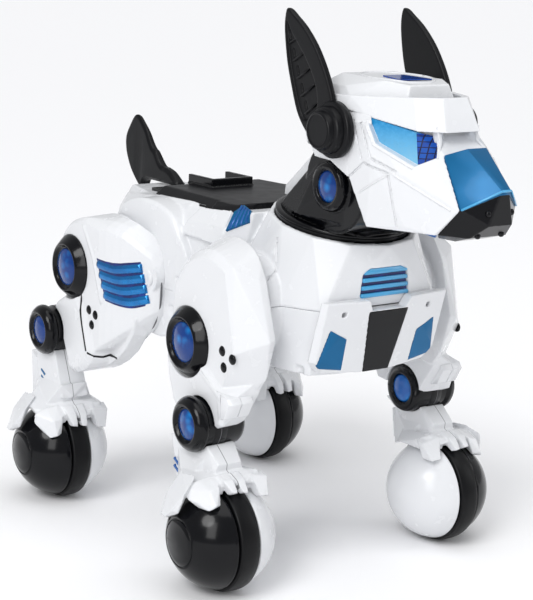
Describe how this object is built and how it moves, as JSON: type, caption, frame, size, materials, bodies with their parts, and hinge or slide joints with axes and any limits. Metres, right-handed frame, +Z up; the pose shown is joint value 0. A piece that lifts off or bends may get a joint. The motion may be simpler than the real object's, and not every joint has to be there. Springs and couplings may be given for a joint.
{
  "type": "robot dog toy",
  "caption": "Robot dog toy with faceted shells, hinged head, ears, tail and legs, and a driven wheel between the half balls of each foot.",
  "frame": {"origin": "on the floor, below the middle of the overall length", "axes": "+Z up, the nose points along -Y, the dog's left side is +X"},
  "size_m": [0.254, 0.4186, 0.3625],
  "materials": {
    "white_plastic": "glossy white",
    "black_gloss": "glossy black",
    "black_matt": "fine matt black",
    "tyre_rubber": "matt rubber",
    "blue_metallic": "metallic blue paint on plastic",
    "blue_lens": "clear deep blue",
    "light_blue": "frosted light blue",
    "navy_lens": "clear navy",
    "battery": "shrink-wrapped cells",
    "board": "green board"
  },
  "bodies": {
    "torso": {"torso_upper": "white_plastic", "torso_lower": "white_plastic", "chest_plate": "white_plastic", "chest_stripe": "black_gloss", "blue_panels": "blue_metallic", "speaker_grille": "light_blue", "saddle": "black_gloss", "battery_door": "white_plastic", "battery_pack": "battery", "circuit_board": "board"},
    "switch": {"power_switch": "black_matt"},
    "tail": {"tail": "black_matt"},
    "neck": {"neck": "black_gloss", "neck_spine": "white_plastic", "neck_lenses": "blue_lens"},
    "head": {"head_shell": "white_plastic", "visor": "white_plastic", "skull_cap": "white_plastic", "navy_windows": "navy_lens", "eye_lenses": "light_blue", "nose_bridge": "blue_metallic", "snout": "black_gloss"},
    "ear_right": {"ear_right": "black_matt"},
    "ear_left": {"ear_left": "black_matt"},
    "thigh_fr": {"thigh_fr": "white_plastic", "hip_bezel_fr": "black_gloss", "hip_lens_fr": "blue_lens"},
    "shank_fr": {"knee_drum_fr": "black_gloss", "knee_lens_fr": "blue_lens", "shank_fr": "white_plastic", "ball_outer_fr": "black_gloss", "ball_inner_fr": "white_plastic"},
    "wheel_fr": {"wheel_fr": "tyre_rubber"},
    "thigh_fl": {"thigh_fl": "white_plastic", "hip_bezel_fl": "black_gloss", "hip_lens_fl": "blue_lens"},
    "shank_fl": {"knee_drum_fl": "black_gloss", "knee_lens_fl": "blue_lens", "shank_fl": "white_plastic", "ball_outer_fl": "black_gloss", "ball_inner_fl": "white_plastic"},
    "wheel_fl": {"wheel_fl": "tyre_rubber"},
    "thigh_rr": {"thigh_rr": "white_plastic", "hip_bezel_rr": "black_gloss", "hip_lens_rr": "blue_lens"},
    "shank_rr": {"knee_drum_rr": "black_gloss", "knee_lens_rr": "blue_lens", "shank_rr": "white_plastic", "ball_outer_rr": "black_gloss", "ball_inner_rr": "white_plastic"},
    "wheel_rr": {"wheel_rr": "tyre_rubber"},
    "thigh_rl": {"thigh_rl": "white_plastic", "hip_bezel_rl": "black_gloss", "hip_lens_rl": "blue_lens"},
    "shank_rl": {"knee_drum_rl": "black_gloss", "knee_lens_rl": "blue_lens", "shank_rl": "white_plastic", "ball_outer_rl": "black_gloss", "ball_inner_rl": "white_plastic"},
    "wheel_rl": {"wheel_rl": "tyre_rubber"}
  },
  "joints": [
    {"name": "head_turn", "type": "hinge", "parent": "torso", "child": "neck", "pos_m": [0, -0.0615, 0.234], "axis": [0, -0.1908, 0.9816], "range_deg": [-20, 20]},
    {"name": "head_nod", "type": "hinge", "parent": "neck", "child": "head", "pos_m": [0, -0.0955, 0.258], "axis": [1, 0, 0], "range_deg": [-8, 15]},
    {"name": "ear_right_tilt", "type": "hinge", "parent": "head", "child": "ear_right", "pos_m": [-0.046, -0.1085, 0.294], "axis": [1, 0, 0], "range_deg": [-35, 15]},
    {"name": "ear_left_tilt", "type": "hinge", "parent": "head", "child": "ear_left", "pos_m": [0.046, -0.1085, 0.294], "axis": [1, 0, 0], "range_deg": [-35, 15]},
    {"name": "tail_wag", "type": "hinge", "parent": "torso", "child": "tail", "pos_m": [0, 0.1435, 0.222], "axis": [0, 0, 1], "range_deg": [-20, 20]},
    {"name": "power_slide", "type": "slide", "parent": "torso", "child": "switch", "axis": [0, 1, 0], "range_m": [0, 0.004]},
    {"name": "hip_fr", "type": "hinge", "parent": "torso", "child": "thigh_fr", "pos_m": [-0.075, -0.0435, 0.178], "axis": [1, 0, 0], "range_deg": [-15, 15]},
    {"name": "knee_fr", "type": "hinge", "parent": "thigh_fr", "child": "shank_fr", "pos_m": [-0.085, -0.0435, 0.105], "axis": [1, 0, 0], "range_deg": [-15, 20]},
    {"name": "wheel_fr", "type": "hinge", "parent": "shank_fr", "child": "wheel_fr", "pos_m": [-0.0895, -0.0625, 0.036], "axis": [1, 0, 0], "continuous": true},
    {"name": "hip_fl", "type": "hinge", "parent": "torso", "child": "thigh_fl", "pos_m": [0.075, -0.0435, 0.178], "axis": [1, 0, 0], "range_deg": [-15, 15]},
    {"name": "knee_fl", "type": "hinge", "parent": "thigh_fl", "child": "shank_fl", "pos_m": [0.085, -0.0435, 0.105], "axis": [1, 0, 0], "range_deg": [-15, 20]},
    {"name": "wheel_fl", "type": "hinge", "parent": "shank_fl", "child": "wheel_fl", "pos_m": [0.0895, -0.0625, 0.036], "axis": [1, 0, 0], "continuous": true},
    {"name": "hip_rr", "type": "hinge", "parent": "torso", "child": "thigh_rr", "pos_m": [-0.075, 0.0565, 0.178], "axis": [1, 0, 0], "range_deg": [-15, 15]},
    {"name": "knee_rr", "type": "hinge", "parent": "thigh_rr", "child": "shank_rr", "pos_m": [-0.085, 0.1545, 0.125], "axis": [1, 0, 0], "range_deg": [-8, 20]},
    {"name": "wheel_rr", "type": "hinge", "parent": "shank_rr", "child": "wheel_rr", "pos_m": [-0.0895, 0.1515, 0.036], "axis": [1, 0, 0], "continuous": true},
    {"name": "hip_rl", "type": "hinge", "parent": "torso", "child": "thigh_rl", "pos_m": [0.075, 0.0565, 0.178], "axis": [1, 0, 0], "range_deg": [-15, 15]},
    {"name": "knee_rl", "type": "hinge", "parent": "thigh_rl", "child": "shank_rl", "pos_m": [0.085, 0.1545, 0.125], "axis": [1, 0, 0], "range_deg": [-8, 20]},
    {"name": "wheel_rl", "type": "hinge", "parent": "shank_rl", "child": "wheel_rl", "pos_m": [0.0895, 0.1515, 0.036], "axis": [1, 0, 0], "continuous": true}
  ]
}
